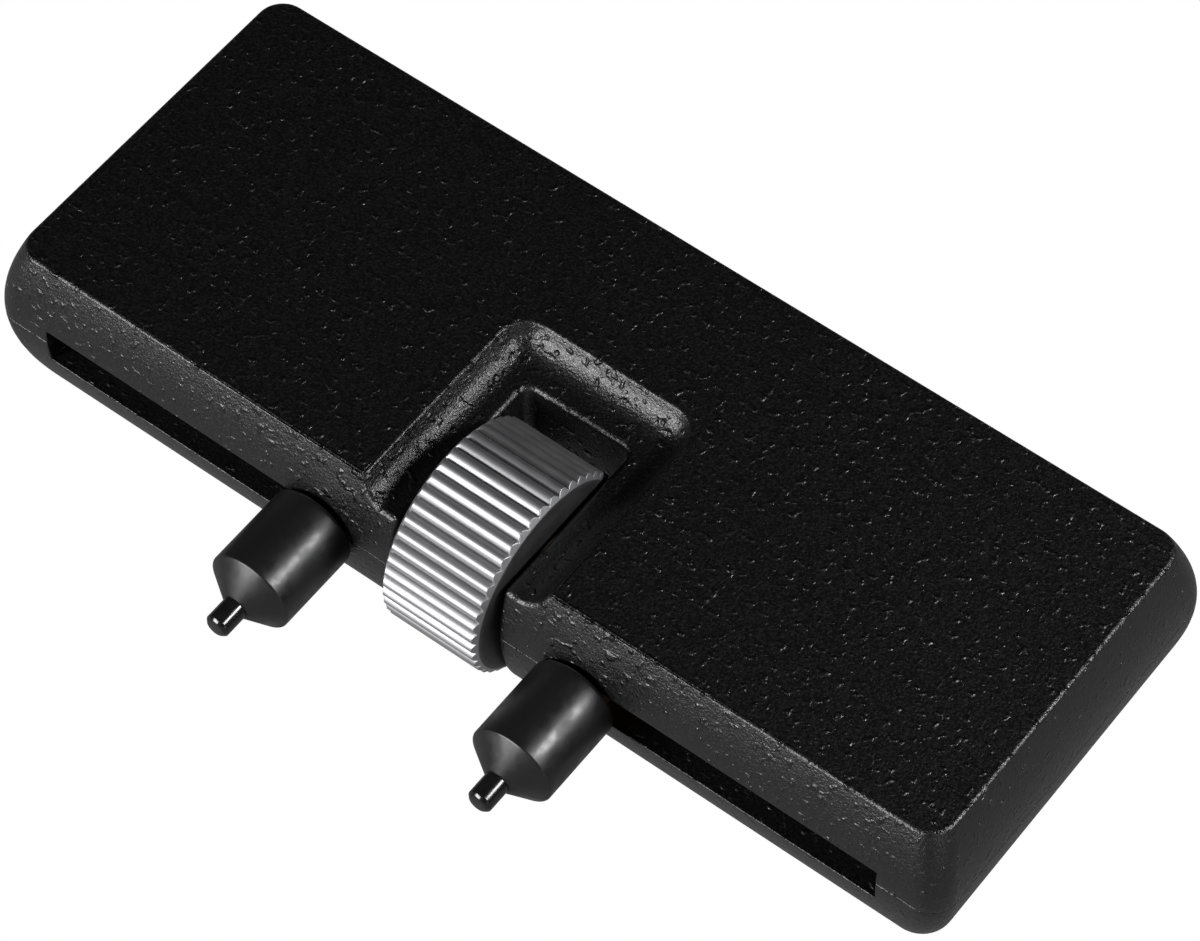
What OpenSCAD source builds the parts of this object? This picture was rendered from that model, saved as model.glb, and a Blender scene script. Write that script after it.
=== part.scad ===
// Adjustable two-claw case back opener: a flat, crowned housing in two halves holds
// a cross spindle with opposite-hand threads. A knurled thumbwheel in the middle of
// the front edge turns the spindle and drives two claws apart or together.
// Origin: centre of the underside. +X along the length, claws towards -Y, +Z up.

/* [Housing] */
// Length of the housing
body_l = 73; // [60:1:90]
// Width of the housing at its widest level
body_w = 28.6; // [23:0.1:36]
// Height of the housing
body_h = 12; // [10:0.1:15]
// How far the side walls draw in at the top and bottom faces
crown = 1.4; // [0.6:0.1:2]
// Radius of the upright corners at their widest level
corner_r = 3; // [2.4:0.1:5]
// Thickness of the side walls
wall_t = 1.6; // [1.3:0.1:2]
// Thickness of the end walls behind the end bushes
end_wall = 1.85; // [1.2:0.05:2.4]
// Thickness of the top and bottom faces
face_t = 2; // [1.9:0.1:2.4]
// Thickness of the inner ribs
rib_t = 1.6; // [1:0.1:2]

/* [Wheel recess] */
// Width of the recess at the face
recess_w = 14.4; // [12:0.1:18]
// Distance of the recess's back edge from the front of the housing
recess_l = 16.6; // [15.6:0.1:20]
// Depth of the recess below the face
recess_d = 1.65; // [0.8:0.05:1.8]
// How far the side slopes of the recess run in
recess_side_run = 1.3; // [0.4:0.1:1.6]
// How far the back slope of the recess runs in
recess_back_run = 0.7; // [0.4:0.1:1.4]

/* [Thumbwheel] */
// Outside diameter of the thumbwheel
wheel_d = 14.3; // [11.8:0.1:17.2]
// Width of the thumbwheel
wheel_w = 7.4; // [6:0.1:9]
// Number of straight knurl ridges
wheel_teeth = 44; // [30:1:60]
// Depth of the knurl
tooth_d = 0.4; // [0.2:0.05:0.6]
// Edge chamfer of the thumbwheel
wheel_chamfer = 0.45; // [0.2:0.05:0.8]
// Room around the rim of the wheel inside the housing
rim_gap = 0.95; // [0.5:0.05:1.5]

/* [Spindle] */
// Outside diameter of the threads
spindle_d = 4; // [3.3:0.1:4.8]
// Advance of a claw for one turn of the wheel
pitch = 0.8; // [0.5:0.05:1.2]
// Depth of the thread
thread_d = 0.4; // [0.2:0.05:0.5]
// Diameter of the end journals
journal_d = 3; // [2:0.1:3.2]
// Length of each end journal's bush
bush_l = 1.6; // [1.2:0.1:2]
// Length of the bearings beside the wheel
bearing_l = 2.65; // [1.6:0.05:3]
// Wall thickness of bearings and bushes
bush_t = 1.2; // [0.8:0.1:1.4]
// Thickness of the thrust washers
washer_t = 0.25; // [0.2:0.05:0.9]
// How far the thrust washers stand out beyond the bearings
washer_lip = 0.4; // [0.2:0.1:0.6]
// Diameter of the wheel's grub screw
grub_d = 2; // [1.6:0.1:2.5]
// Length of the wheel's grub screw
grub_l = 3.6; // [2.5:0.1:4.2]

/* [Claws] */
// Gap between each carriage and the bearing beside it, as shown
start_gap = 0.6; // [0.5:0.1:6]
// How far a claw moves inwards from there
travel_in = 0.4; // [0:0.1:0.4]
// How far the claws and slots lie below the spindle axis
claw_drop = 0.4; // [0:0.1:0.6]
// Diameter of the claw's barrel
claw_d = 5.95; // [4.95:0.05:7.2]
// Length of the claw's barrel
claw_l = 6.25; // [4:0.05:9]
// Length of the cone on the claw
cone_l = 1.4; // [1:0.1:3]
// Diameter of the claw's tip pin
tip_d = 1.7; // [1.2:0.1:2]
// Length of the tip pin outside the cone
tip_l = 1.9; // [1:0.1:3]
// Diameter of the tip pin's shank, pressed into the claw
tip_shank_d = 1.2; // [0.8:0.1:1.2]
// Depth of the shank inside the cone and barrel
tip_seat = 3.1; // [2:0.1:4]
// Height of the slots in the front wall
slot_h = 3.1; // [2.6:0.1:3.8]
// Spare length of a slot at each end of the claw's travel
slot_spare = 0.4; // [0.2:0.1:0.8]

/* [Carriages] */
// Length of a carriage along the spindle
carriage_l = 5.6; // [4.6:0.1:6.8]
// Depth of a carriage, front to back
carriage_w = 7.2; // [6.6:0.1:8.6]
// Length of the neck that passes through the slot
neck_l = 3; // [2.5:0.1:3.6]
// Diameter of the stud that joins claw and carriage
stud_d = 2.1; // [1.6:0.1:2.3]
// Depth of the stud inside the claw
stud_seat = 3.1; // [2:0.1:3.4]
// Metal left between the stud and the threads
stud_wall = 0.35; // [0.3:0.05:1]

/* [Fasteners] */
// Diameter of the housing screws
screw_d = 2; // [1.6:0.1:2.5]
// Head diameter of the housing screws
screw_head_d = 3.8; // [3.2:0.1:4.4]
// Length of the housing screws
screw_l = 8.4; // [7:0.1:9]
// Depth of a screw's hole beyond its end
screw_spare = 0.3; // [0.2:0.1:0.6]
// Width of the cross recess in the screw heads
drive_w = 0.5; // [0.4:0.1:0.6]
// Diameter of the moulded screw bosses
boss_d = 5; // [4.4:0.1:6]
// How far the bosses merge into the walls beside them
boss_merge = 0.6; // [0.4:0.1:1]

/* [Fits] */
// Radial clearance of a running fit
run_fit = 0.03; // [0.02:0.01:0.06]
// Clearance of a sliding carriage on each side
slide_fit = 0.15; // [0.1:0.01:0.2]
// Clearance between the claws and the front wall
face_fit = 0.15; // [0.1:0.01:0.3]
// End clearance between the wheel's parts
end_fit = 0.05; // [0.03:0.01:0.1]

/* [Hidden] */
$fn = 64;
eps = 0.02;
ROUND_STEPS = 8;

mid_z = body_h / 2;
front_y = -body_w / 2;
axis_y = front_y + wall_t + slide_fit + carriage_w / 2;
slot_z = mid_z - claw_drop;

notch_x = wheel_w / 2 + washer_t + 2 * end_fit;
channel_x0 = notch_x + bearing_l;
channel_x1 = body_l / 2 - end_wall - bush_l;
channel_front = front_y + wall_t;
channel_rear = channel_front + carriage_w + 2 * slide_fit;
channel_h = body_h - 2 * face_t;
carriage_h = channel_h - 2 * slide_fit;
claw_x = channel_x0 + start_gap + carriage_l / 2;
travel_out = channel_x1 - slide_fit - carriage_l / 2 - claw_x;
stud_y = axis_y - spindle_d / 2 - stud_wall;
pocket_back = axis_y + wheel_d / 2 + rim_gap;
recess_back = front_y + recess_l;
block_back = recess_back + rib_t;

slot_x0 = claw_x - travel_in - neck_l / 2 - slot_spare;
slot_x1 = claw_x + travel_out + neck_l / 2 + slot_spare;
claw_y0 = front_y - face_fit;
claw_y1 = claw_y0 - claw_l;
cone_y1 = claw_y1 - cone_l;

inner_x = body_l / 2 - wall_t;
inner_y = body_w / 2 - wall_t;
inner_r = max(corner_r - wall_t, 0.5);
rear_y0 = channel_rear + rib_t;
boss_back = boss_d / 2 - boss_merge;
screw_places = [
    for (side = [-1, 1], place = [[inner_x - boss_back, inner_y - boss_back],
                                  [channel_x0 + rib_t + boss_d, rear_y0 + boss_back]])
        [side * place[0], place[1]]
];

// ---- shared shapes -------------------------------------------------------

// How far the walls draw in at height z: nothing at mid height, crown at the faces
function inset(z) = crown * pow((z - mid_z) / mid_z, 2);

// Outline of one wall from the underside to the top, at distance r from an axis
function wall_profile(r) = [
    for (i = [0 : 2 * ROUND_STEPS])
        let (z = body_h * i / (2 * ROUND_STEPS)) [r - inset(z), z]
];

// Solid ring or tube along X, starting at x0
module tube_x(r_out, r_in, x0, len) {
    translate([x0, axis_y, mid_z]) rotate([0, 90, 0])
        difference() {
            cylinder(r = r_out, h = len);
            translate([0, 0, -eps]) cylinder(r = r_in, h = len + 2 * eps);
        }
}

// Round bar along X, starting at x0
module bar_x(r, x0, len) {
    translate([x0, axis_y, mid_z]) rotate([0, 90, 0]) cylinder(r = r, h = len);
}

// Round bar towards the claws, from y0 to y1, on the claw axis of one side
module bar_y(x, r, y0, y1) {
    translate([x, y0, slot_z]) rotate([90, 0, 0]) cylinder(r = r, h = y0 - y1);
}

// Upright box with rounded corners
module rounded_box(x0, x1, y0, y1, z0, h, r) {
    translate([0, 0, z0]) linear_extrude(h) union() {
        translate([x0 + r, y0]) square([x1 - x0 - 2 * r, y1 - y0]);
        translate([x0, y0 + r]) square([x1 - x0, y1 - y0 - 2 * r]);
        for (x = [x0 + r, x1 - r], y = [y0 + r, y1 - r])
            translate([x, y]) circle(r = r);
    }
}

// Quarter turn of a wall profile round an upright corner
module crowned_corner(side) {
    rotate_extrude(angle = 90) polygon(concat([[0, 0]], side, [[0, body_h]]));
}

// Full height of the housing, walls bowed outwards and upright corners rounded
module crowned_block() {
    core_x = body_l / 2 - corner_r;
    core_y = body_w / 2 - corner_r;
    side = wall_profile(corner_r);
    section_y = concat([for (p = side) [core_y + p[0], p[1]]],
                       [for (i = [len(side) - 1 : -1 : 0]) [-core_y - side[i][0], side[i][1]]]);
    section_x = concat([for (p = side) [core_x + p[0], p[1]]],
                       [for (i = [len(side) - 1 : -1 : 0]) [-core_x - side[i][0], side[i][1]]]);
    translate([-core_x, 0, 0]) rotate([90, 0, 90]) linear_extrude(2 * core_x) polygon(section_y);
    translate([0, core_y, 0]) rotate([90, 0, 0]) linear_extrude(2 * core_y) polygon(section_x);
    for (turn = [0, 180]) rotate(turn) {
        translate([core_x, core_y, 0]) crowned_corner(side);
        translate([-core_x, core_y, 0]) rotate(90) crowned_corner(side);
    }
}

// Recess round the wheel in the top face: sloped sides and back, open to the front
module recess_cut() {
    top_w = recess_w / 2;
    floor_w = top_w - recess_side_run;
    floor_back = recess_back - recess_back_run;
    over = 1;
    grow_x = recess_side_run / recess_d * over;
    grow_y = recess_back_run / recess_d * over;
    intersection() {
        translate([0, recess_back + 2, body_h - recess_d]) rotate([90, 0, 0])
            linear_extrude(recess_l + 4)
                polygon([[-floor_w, 0], [floor_w, 0], [top_w + grow_x, recess_d + over],
                         [-top_w - grow_x, recess_d + over]]);
        translate([-recess_w, 0, body_h - recess_d]) rotate([90, 0, 90])
            linear_extrude(2 * recess_w)
                polygon([[front_y - 1, 0], [floor_back, 0],
                         [recess_back + grow_y, recess_d + over], [front_y - 1, recess_d + over]]);
    }
}

// Room for the wheel, spindle, carriages and slots, common to both halves
module works_cut() {
    translate([-notch_x, front_y - 1, -1])
        cube([2 * notch_x, pocket_back - front_y + 1, body_h + 2]);
    for (side = [0, 1]) mirror([side, 0, 0]) {
        bar_x(spindle_d / 2 + bush_t + run_fit, notch_x - eps, bearing_l + 2 * eps);
        translate([channel_x0, channel_front, face_t])
            cube([channel_x1 - channel_x0, channel_rear - channel_front, channel_h]);
        bar_x(journal_d / 2 + run_fit + bush_t, channel_x1 - eps, bush_l + eps);
        translate([slot_x0, front_y - 1, slot_z - slot_h / 2])
            cube([slot_x1 - slot_x0, wall_t + 2, slot_h]);
    }
}

// Hollows behind the spindle channel, with bosses left for the screws
module rear_cut() {
    depth = body_h - 2 * face_t;
    difference() {
        union() {
            for (side = [0, 1]) mirror([side, 0, 0])
                rounded_box(channel_x0 + rib_t, inner_x, rear_y0, inner_y, face_t, depth, inner_r);
            rounded_box(-channel_x0, channel_x0, block_back, inner_y, face_t, depth, inner_r);
        }
        for (p = screw_places)
            translate([p[0], p[1], 0]) cylinder(d = boss_d, h = body_h);
    }
}

// One housing half, before its screw holes
module shell_half(upper) {
    intersection() {
        difference() {
            crowned_block();
            works_cut();
            rear_cut();
            recess_cut();
        }
        translate([-body_l, -body_w, upper ? mid_z : -1])
            cube([2 * body_l, 2 * body_w, upper ? body_h : mid_z + 1]);
    }
}

// ---- housing -------------------------------------------------------------

module upper_shell() {
    color([0.07, 0.07, 0.08]) difference() {
        shell_half(true);
        for (p = screw_places) translate([p[0], p[1], mid_z - eps])
            cylinder(d = screw_d, h = screw_l + screw_spare - mid_z + eps);
    }
}

module lower_shell() {
    head_h = (screw_head_d - screw_d) / 2;
    color([0.08, 0.08, 0.09]) difference() {
        shell_half(false);
        for (p = screw_places) translate([p[0], p[1], 0]) {
            translate([0, 0, -eps]) cylinder(d = screw_d + 2 * run_fit, h = mid_z + 1);
            cylinder(d1 = screw_head_d + 2 * run_fit, d2 = screw_d + 2 * run_fit, h = head_h);
        }
    }
}

module cover_screws() {
    head_h = (screw_head_d - screw_d) / 2;
    color([0.25, 0.25, 0.27]) for (p = screw_places) translate([p[0], p[1], 0])
        difference() {
            union() {
                cylinder(d1 = screw_head_d, d2 = screw_d, h = head_h);
                cylinder(d = screw_d, h = screw_l);
            }
            for (turn = [0, 90]) rotate(turn)
                translate([-drive_w / 2, -screw_head_d / 4, -eps])
                    cube([drive_w, screw_head_d / 2, drive_w]);
        }
}

// ---- wheel and spindle ---------------------------------------------------

// Outline of the knurl: flat-topped ridges with sloped flanks
function knurl_outline() = [
    for (i = [0 : wheel_teeth - 1], k = [0 : 3])
        let (a = 360 / wheel_teeth * (i + [-0.2, 0.2, 0.32, 0.68][k]),
             r = wheel_d / 2 - (k < 2 ? 0 : tooth_d))
            [r * cos(a), r * sin(a)]
];

module thumbwheel() {
    r = wheel_d / 2;
    c = wheel_chamfer;
    color([0.85, 0.85, 0.87]) translate([0, axis_y, mid_z]) difference() {
        intersection() {
            translate([-wheel_w / 2, 0, 0]) rotate([90, 0, 90])
                linear_extrude(wheel_w) polygon(knurl_outline());
            rotate([0, 90, 0]) rotate_extrude()
                polygon([[0, -wheel_w / 2], [r - c, -wheel_w / 2], [r + c, 2 * c - wheel_w / 2],
                         [r + c, wheel_w / 2 - 2 * c], [r - c, wheel_w / 2], [0, wheel_w / 2]]);
        }
        translate([-wheel_w, 0, 0]) rotate([0, 90, 0]) cylinder(d = spindle_d, h = 2 * wheel_w);
        rotate([-90, 0, 0]) cylinder(d = grub_d, h = wheel_d);
    }
}

module wheel_grub_screw() {
    hex_d = grub_d / 2;
    color([0.2, 0.2, 0.22]) translate([0, axis_y + spindle_d / 2, mid_z]) rotate([-90, 0, 0])
        difference() {
            cylinder(d = grub_d, h = grub_l);
            translate([0, 0, grub_l / 2]) cylinder(d = hex_d, h = grub_l, $fn = 6);
        }
}

module lead_screw() {
    r = spindle_d / 2;
    root = r - thread_d;
    flat = pitch / 4;
    first = channel_x0 - bearing_l / 2;
    turns = floor((channel_x1 - first - pitch) / pitch);
    start = channel_x1 - turns * pitch - pitch / 2;
    crests = [
        for (i = [0 : turns - 1], k = [0 : 3])
            let (z = start + pitch * (i + [0, 0.25, 0.5, 0.75][k]))
                [k == 0 || k == 3 ? root : r, z]
    ];
    last = start + turns * pitch;
    end_z = channel_x1 + bush_l - 2 * end_fit;
    half = concat([[0, 0], [r, 0], [r, start - flat]], crests,
                  [[root, last], [journal_d / 2, last + flat / 2], [journal_d / 2, end_z - 0.2],
                   [journal_d / 2 - 0.2, end_z], [0, end_z]]);
    color([0.55, 0.55, 0.58]) translate([0, axis_y, mid_z]) for (side = [-1, 1])
        rotate([0, 90 * side, 0]) rotate_extrude() polygon(half);
}

module thrust_washer(side) {
    color([0.78, 0.62, 0.3]) mirror([side < 0 ? 1 : 0, 0, 0])
        tube_x(spindle_d / 2 + bush_t + washer_lip, spindle_d / 2 + run_fit,
               wheel_w / 2 + end_fit, washer_t);
}

module spindle_bearing(side) {
    color([0.72, 0.55, 0.28]) mirror([side < 0 ? 1 : 0, 0, 0])
        tube_x(spindle_d / 2 + run_fit + bush_t, spindle_d / 2 + run_fit, notch_x, bearing_l);
}

module end_bush(side) {
    color([0.72, 0.55, 0.28]) mirror([side < 0 ? 1 : 0, 0, 0])
        tube_x(journal_d / 2 + run_fit + bush_t, journal_d / 2 + run_fit, channel_x1, bush_l);
}

// ---- claws and carriages -------------------------------------------------

module carriage(side) {
    x = side * claw_x;
    color([0.75, 0.6, 0.32]) difference() {
        union() {
            translate([x - carriage_l / 2, axis_y - carriage_w / 2, mid_z - carriage_h / 2])
                cube([carriage_l, carriage_w, carriage_h]);
            translate([x - neck_l / 2, claw_y0, slot_z - slot_h / 2 + slide_fit])
                cube([neck_l, axis_y - claw_y0, slot_h - 2 * slide_fit]);
        }
        bar_x(spindle_d / 2 + run_fit, x - carriage_l, 2 * carriage_l);
        bar_y(x, stud_d / 2, stud_y, claw_y0 - 1);
    }
}

module claw_stud(side) {
    color([0.4, 0.4, 0.42])
        bar_y(side * claw_x, stud_d / 2, stud_y, claw_y0 - stud_seat);
}

module claw(side) {
    r = claw_d / 2;
    edge = 0.2;
    nose_r = tip_d / 2 + 0.1;
    color([0.1, 0.1, 0.1]) translate([side * claw_x, claw_y0, slot_z]) rotate([90, 0, 0])
        rotate_extrude() difference() {
            polygon([[0, 0], [r - edge, 0], [r, edge], [r, claw_l - edge], [r - edge, claw_l],
                     [nose_r, claw_l + cone_l], [0, claw_l + cone_l]]);
            square([stud_d / 2, stud_seat]);
            translate([0, claw_l + cone_l - tip_seat]) square([tip_shank_d / 2, tip_seat + 1]);
        }
}

module claw_tip(side) {
    r = tip_d / 2;
    shank_r = tip_shank_d / 2;
    bevel = 0.25;
    color([0.15, 0.15, 0.16]) translate([side * claw_x, cone_y1 + tip_seat, slot_z])
        rotate([90, 0, 0]) rotate_extrude()
            polygon([[0, 0], [shank_r, 0], [shank_r, tip_seat], [r, tip_seat],
                     [r, tip_seat + tip_l - bevel], [r - bevel, tip_seat + tip_l],
                     [0, tip_seat + tip_l]]);
}

upper_shell();
lower_shell();
cover_screws();
thumbwheel();
wheel_grub_screw();
lead_screw();
thrust_washer(-1);  // thrust_washer_left
thrust_washer(1);  // thrust_washer_right
spindle_bearing(-1);  // spindle_bearing_left
spindle_bearing(1);  // spindle_bearing_right
end_bush(-1);  // end_bush_left
end_bush(1);  // end_bush_right
carriage(-1);  // carriage_left
carriage(1);  // carriage_right
claw_stud(-1);  // claw_stud_left
claw_stud(1);  // claw_stud_right
claw(-1);  // claw_left
claw(1);  // claw_right
claw_tip(-1);  // claw_tip_left
claw_tip(1);  // claw_tip_right
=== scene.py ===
"""Case back opener: finished meshes, materials and studio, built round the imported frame.

A crowned black housing in two halves, a knurled thumbwheel, a spindle with opposite-hand
threads and two claws with pressed-in pins. Sizes in the classes are millimetres in the
frame's own axes: +X along the housing, claws towards -Y, +Z up through the top face.
"""

import logging
import math
from collections.abc import Callable
from dataclasses import dataclass, field
from enum import Enum
from functools import cache

import bmesh
import bpy
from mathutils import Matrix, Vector


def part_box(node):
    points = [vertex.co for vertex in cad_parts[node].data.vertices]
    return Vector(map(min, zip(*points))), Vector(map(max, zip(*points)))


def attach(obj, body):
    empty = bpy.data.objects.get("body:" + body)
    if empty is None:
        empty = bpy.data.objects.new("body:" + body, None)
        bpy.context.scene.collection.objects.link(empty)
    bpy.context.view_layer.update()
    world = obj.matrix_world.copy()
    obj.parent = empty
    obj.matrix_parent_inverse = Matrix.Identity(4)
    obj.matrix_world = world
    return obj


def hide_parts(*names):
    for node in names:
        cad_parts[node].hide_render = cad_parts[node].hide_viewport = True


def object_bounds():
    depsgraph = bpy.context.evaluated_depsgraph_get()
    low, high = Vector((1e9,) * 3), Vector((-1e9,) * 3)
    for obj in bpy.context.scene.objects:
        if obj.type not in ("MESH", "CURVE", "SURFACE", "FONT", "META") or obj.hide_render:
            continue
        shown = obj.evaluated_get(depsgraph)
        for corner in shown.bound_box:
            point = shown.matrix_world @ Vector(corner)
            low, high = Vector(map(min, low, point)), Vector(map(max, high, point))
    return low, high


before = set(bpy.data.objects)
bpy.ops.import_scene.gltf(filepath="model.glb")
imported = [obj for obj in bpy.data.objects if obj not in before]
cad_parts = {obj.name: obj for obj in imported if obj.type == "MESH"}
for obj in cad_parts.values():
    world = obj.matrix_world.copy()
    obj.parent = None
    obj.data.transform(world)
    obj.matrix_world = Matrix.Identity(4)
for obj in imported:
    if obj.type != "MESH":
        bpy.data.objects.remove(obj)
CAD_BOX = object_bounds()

LOG = logging.getLogger("case_back_opener")
MM = 0.001
SAME_M = 1e-7
WELD_M = 2e-6
POLE_MM = 1e-9
TINY_MM = 1e-6
FLAT_DEGREES = 0.4
THREAD_FLANK = (0.12, 0.88)

Point = tuple[float, float]
Point3 = tuple[float, float, float]


class Side(Enum):
    """Which end of the housing a mirrored piece stands towards."""

    LEFT = -1
    RIGHT = 1

    @property
    def word(self) -> str:
        """The side's name as it stands in node names."""
        return self.name.lower()


class Half(Enum):
    """The two mouldings of the housing."""

    UPPER = "upper"
    LOWER = "lower"


class Turning(Enum):
    """The axis that a turned piece is turned about."""

    X = "x"
    Y = "y"
    Z = "z"


# ---- mesh helpers ----------------------------------------------------------


def box_mm(node: str) -> tuple[Vector, Vector]:
    """Measure a node of the frame: its lowest and highest corners in millimetres."""
    low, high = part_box(node)
    return low / MM, high / MM


def centre_of(node: str) -> Point3:
    """Find the middle of a node of the frame, in millimetres."""
    return tuple((a + b) / 2 for a, b in zip(*box_mm(node)))


def linked(name: str, data: bpy.types.ID) -> bpy.types.Object:
    """Make an object of some data and link it to the scene."""
    item = bpy.data.objects.new(name, data)
    bpy.context.scene.collection.objects.link(item)
    return item


def new_object(name: str, vertices: list[Point3], faces: list[tuple[int, ...]]) -> bpy.types.Object:
    """Make an object whose faces all point outwards.

    Args:
        name: Name of the object.
        vertices: Vertex places in millimetres.
        faces: Vertex numbers of each face.

    Returns:
        The object, linked to the scene, at the origin.
    """
    mesh = bpy.data.meshes.new(name)
    mesh.from_pydata([tuple(c * MM for c in v) for v in vertices], [], faces)
    made = bmesh.new()
    made.from_mesh(mesh)
    bmesh.ops.remove_doubles(made, verts=made.verts, dist=SAME_M)
    bmesh.ops.recalc_face_normals(made, faces=made.faces)
    made.to_mesh(mesh)
    made.free()
    return linked(name, mesh)


def settle(item: bpy.types.Object) -> bpy.types.Object:
    """Turn an object and its modifiers into one plain mesh.

    Args:
        item: The object; its modifiers are removed.

    Returns:
        The same object with the finished mesh.
    """
    graph = bpy.context.evaluated_depsgraph_get()
    graph.update()
    mesh = bpy.data.meshes.new_from_object(item.evaluated_get(graph), depsgraph=graph)
    old = item.data
    item.modifiers.clear()
    item.data = mesh
    mesh.name = item.name
    bpy.data.meshes.remove(old)
    return item


def turned(
    name: str, profile: list[Point], axis: Turning, centre: Point3, segments: int = 96, tube: bool = False
) -> bpy.types.Object:
    """Turn a profile about an axis.

    Args:
        name: Name of the object.
        profile: Pairs of radius and distance along the axis; a radius of 0 is a pole.
        axis: The axis of the frame that the profile turns about.
        centre: A point on the axis, from which the distances count.
        segments: Steps round the axis.
        tube: Whether the profile is a closed loop round a bore.

    Returns:
        The turned object.
    """
    vertices: list[Point3] = []
    rings: list[list[int]] = []
    for radius, along in profile:
        start = len(vertices)
        count = 1 if radius < POLE_MM else segments
        for step in range(count):
            angle = 2 * math.pi * step / segments
            u, v = radius * math.cos(angle), radius * math.sin(angle)
            place = {Turning.X: (along, u, v), Turning.Y: (v, along, u), Turning.Z: (u, v, along)}[axis]
            vertices.append(tuple(p + c for p, c in zip(place, centre)))
        rings.append(list(range(start, start + count)))
    pairs = list(zip(rings, rings[1:])) + ([(rings[-1], rings[0])] if tube else [])
    faces: list[tuple[int, ...]] = []
    for first, second in pairs:
        for step in range(segments):
            nxt = (step + 1) % segments
            corners = [first[step % len(first)], first[nxt % len(first)],
                       second[nxt % len(second)], second[step % len(second)]]
            face = tuple(dict.fromkeys(corners))
            if len(face) > 2:
                faces.append(face)
    return new_object(name, vertices, faces)


def lofted(name: str, rings: list[list[Point3]]) -> bpy.types.Object:
    """Join rings of equal length into a closed body with flat ends.

    Args:
        name: Name of the object.
        rings: Rings of points in millimetres, from one end to the other.

    Returns:
        The lofted object.
    """
    count = len(rings[0])
    vertices = [p for ring in rings for p in ring]
    faces: list[tuple[int, ...]] = [tuple(range(count))]
    for level in range(len(rings) - 1):
        base = level * count
        for step in range(count):
            nxt = (step + 1) % count
            faces.append((base + step, base + nxt, base + count + nxt, base + count + step))
    last = (len(rings) - 1) * count
    faces.append(tuple(last + step for step in range(count)))
    return new_object(name, vertices, faces)


def rounded_outline(x0: float, x1: float, y0: float, y1: float, radius: float,
                    steps: int = 10) -> list[Point]:
    """Draw an outline with four round corners, anticlockwise.

    Args:
        x0: Left edge.
        x1: Right edge.
        y0: Front edge.
        y1: Back edge.
        radius: Radius of the corners.
        steps: Steps round each corner.

    Returns:
        The outline's points.
    """
    corners = [(x1 - radius, y1 - radius, 0), (x0 + radius, y1 - radius, 90),
               (x0 + radius, y0 + radius, 180), (x1 - radius, y0 + radius, 270)]
    points: list[Point] = []
    for cx, cy, start in corners:
        for step in range(steps + 1):
            angle = math.radians(start + 90 * step / steps)
            points.append((cx + radius * math.cos(angle), cy + radius * math.sin(angle)))
    return points


def block(name: str, low: Point3, high: Point3, radius: float = 0.05) -> bpy.types.Object:
    """Make a block between two corners, its upright edges rounded by a radius."""
    outline = rounded_outline(low[0], high[0], low[1], high[1], radius, steps=3)
    return lofted(name, [[(x, y, z) for x, y in outline] for z in (low[2], high[2])])


def rod(name: str, axis: Turning, start: Point3, length: float, radius: float,
        tip: float | None = None) -> bpy.types.Object:
    """Make a round rod to cut with, from a start along an axis; tip is its other end's radius."""
    profile = [(0, 0), (radius, 0), (radius if tip is None else tip, length), (0, length)]
    return turned(name, profile, axis, start, segments=48)


def cut(item: bpy.types.Object, tool: bpy.types.Object) -> None:
    """Cut one object with another, and remove the tool.

    Args:
        item: The object that is cut.
        tool: The cutting object.
    """
    modifier = item.modifiers.new("cut", "BOOLEAN")
    modifier.operation = "DIFFERENCE"
    modifier.solver = "EXACT"
    modifier.object = tool
    settle(item)
    mesh = tool.data
    bpy.data.objects.remove(tool)
    bpy.data.meshes.remove(mesh)


def soften(
    item: bpy.types.Object, width: float, segments: int = 2, angle: float = 38,
    widest: float = 0.0, width_at: Callable[[Vector, Vector], float] | None = None
) -> None:
    """Round an object's sharp edges and smooth its shading between them.

    Args:
        item: The object.
        width: Width of the rounding in millimetres.
        segments: Steps across the rounding.
        angle: Edges sharper than this many degrees are rounded.
        widest: The greatest width that width_at gives.
        width_at: Tells from a convex edge's two ends, in millimetres, its own width, or 0.
    """
    widest = max(width, widest)
    made = bmesh.new()
    made.from_mesh(item.data)
    bmesh.ops.remove_doubles(made, verts=made.verts, dist=WELD_M)
    flat = math.radians(FLAT_DEGREES)
    bmesh.ops.dissolve_limit(made, angle_limit=flat, verts=made.verts, edges=made.edges)
    weight = made.edges.layers.float.new("bevel_weight_edge")
    for edge in made.edges:
        if len(edge.link_faces) == 2 and edge.calc_face_angle() > math.radians(angle):
            own = width_at(*(v.co / MM for v in edge.verts)) if width_at and edge.is_convex else 0.0
            edge[weight] = (own or width) / widest
    made.to_mesh(item.data)
    made.free()
    bevel = item.modifiers.new("soften", "BEVEL")
    bevel.limit_method = "WEIGHT"
    bevel.width = widest * MM
    bevel.segments = segments
    bevel.use_clamp_overlap = False
    bevel.miter_outer = "MITER_ARC"
    settle(item)
    smooth(item)


def smooth(item: bpy.types.Object, angle: float = 30) -> None:
    """Shade an object smoothly apart from edges sharper than an angle in degrees."""
    item.data.shade_smooth()
    item.data.set_sharp_from_angle(angle=math.radians(angle))
    weighted = item.modifiers.new("even shading", "WEIGHTED_NORMAL")
    weighted.keep_sharp = True
    settle(item)


def dress(item: bpy.types.Object, material: bpy.types.Material) -> None:
    """Give an object one material, in place of any that it has."""
    item.data.materials.clear()
    item.data.materials.append(material)


def hand_over(item: bpy.types.Object, material: bpy.types.Material, body: str, slot: str,
              *nodes: str) -> None:
    """Put a finished piece on its body, in place of the nodes that it stands for.

    Args:
        item: The finished piece.
        material: Its only material.
        body: The body of the frame that it rides on.
        slot: Not used.
        nodes: The nodes that it replaces.
    """
    dress(item, material)
    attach(item, body)
    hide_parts(*nodes)
    LOG.info("%s: %d faces, on %s", item.name, len(item.data.polygons), body)


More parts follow.
